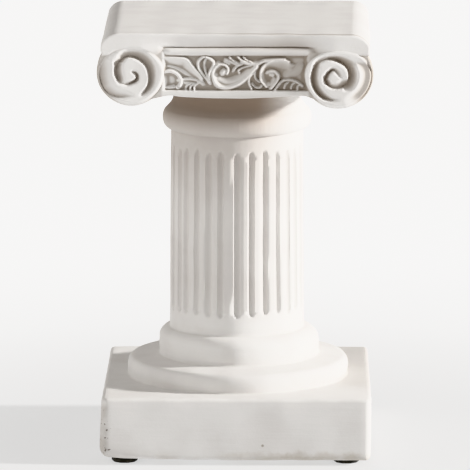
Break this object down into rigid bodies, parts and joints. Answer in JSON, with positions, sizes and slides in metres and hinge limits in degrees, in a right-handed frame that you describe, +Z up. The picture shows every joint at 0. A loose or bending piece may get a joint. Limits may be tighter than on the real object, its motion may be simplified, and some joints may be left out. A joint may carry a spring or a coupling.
{
  "type": "decorative column",
  "caption": "Small cast plaster Ionic column with a square plinth, fluted shaft and scrolled, carved capital, on soft foot pads.",
  "frame": {"origin": "on the ground under the middle of the plinth, at the underside of the foot pads", "axes": "+Z up along the column's axis, -Y towards the carved front, +X to the right seen from the front"},
  "size_m": [0.1256, 0.125, 0.2],
  "materials": {
    "plaster": "matte",
    "pad": "matte"
  },
  "bodies": {
    "root": {"column_casting": "plaster", "foot_pad_front_left": "pad", "foot_pad_front_right": "pad", "foot_pad_back_left": "pad", "foot_pad_back_right": "pad"}
  },
  "joints": []
}
